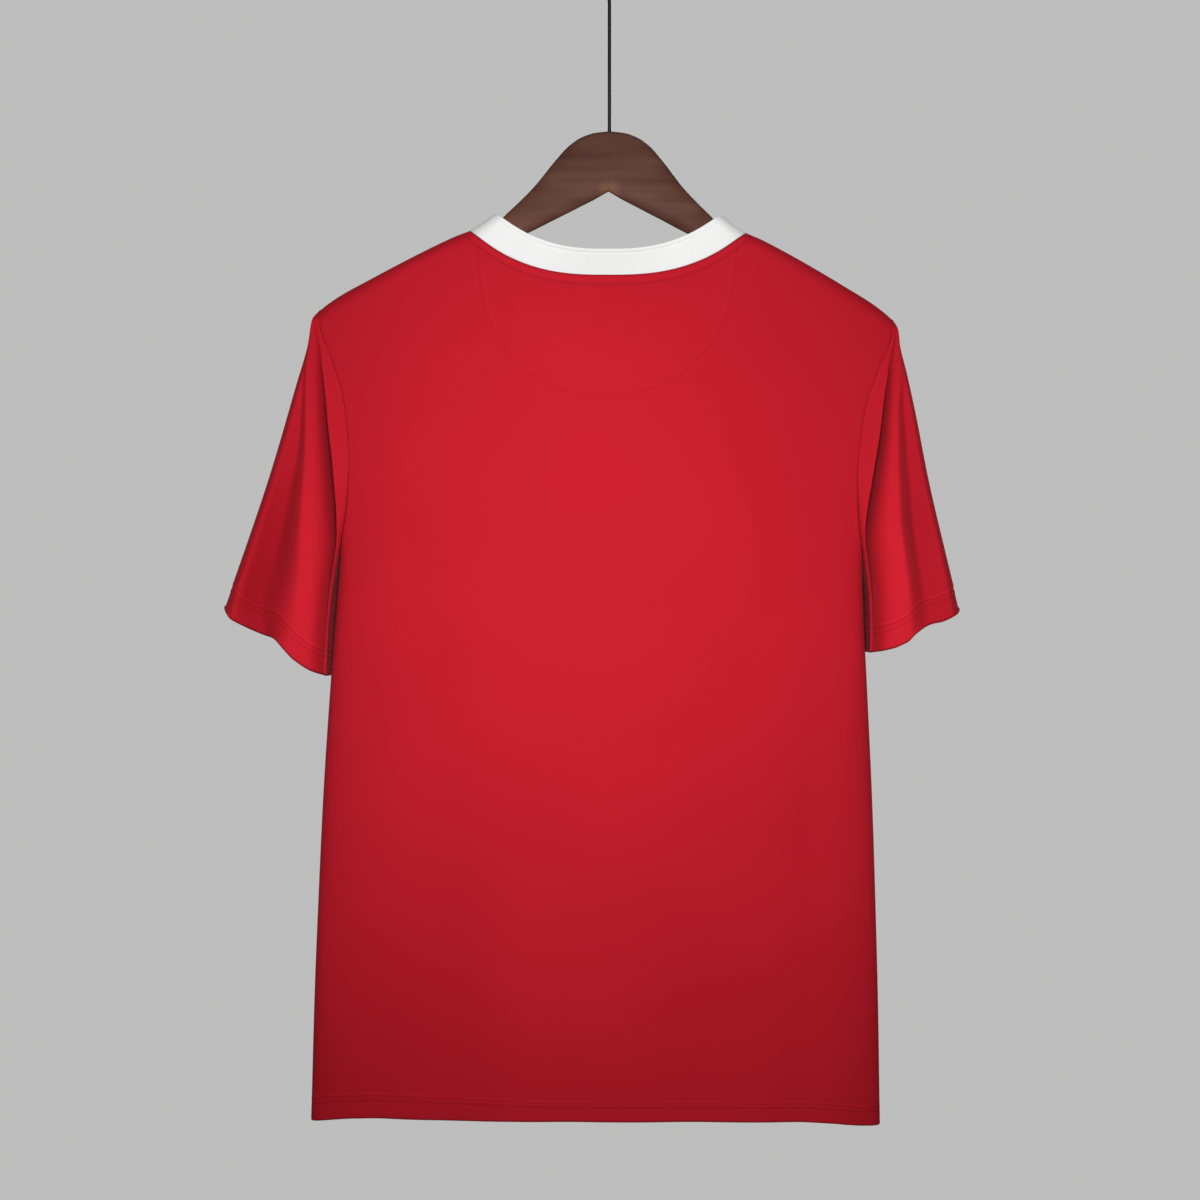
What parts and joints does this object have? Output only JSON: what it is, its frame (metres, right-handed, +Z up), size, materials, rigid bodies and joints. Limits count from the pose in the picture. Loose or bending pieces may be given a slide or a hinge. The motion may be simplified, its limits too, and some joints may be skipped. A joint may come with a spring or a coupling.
{
  "type": "football jersey on a wooden hanger",
  "caption": "Plain red short-sleeved football jersey with a white neckband, hanging by a wire hook on a contoured dark wooden hanger, its back to the viewer.",
  "frame": {"origin": "the inside of the hook's crown, where a rail or a peg carries the hanger", "axes": "+Z up, and the jersey is longest along it; the jersey's back faces -Y, its front faces +Y, and +X is to the right for someone who looks at the back"},
  "size_m": [0.592, 0.0999, 0.9479],
  "materials": {
    "red_knit": "smooth polyester interlock knit with a faint sheen",
    "white_knit": "smooth doubled knit, matt",
    "dark_wood": "dark brown stain under satin varnish",
    "black_steel": "black lacquered steel wire"
  },
  "bodies": {
    "root": {"back_panel": "red_knit", "front_panel": "red_knit", "sleeve_left": "red_knit", "sleeve_right": "red_knit", "half_moon": "red_knit", "collar": "white_knit", "hanger": "dark_wood", "hook": "black_steel"}
  },
  "joints": []
}
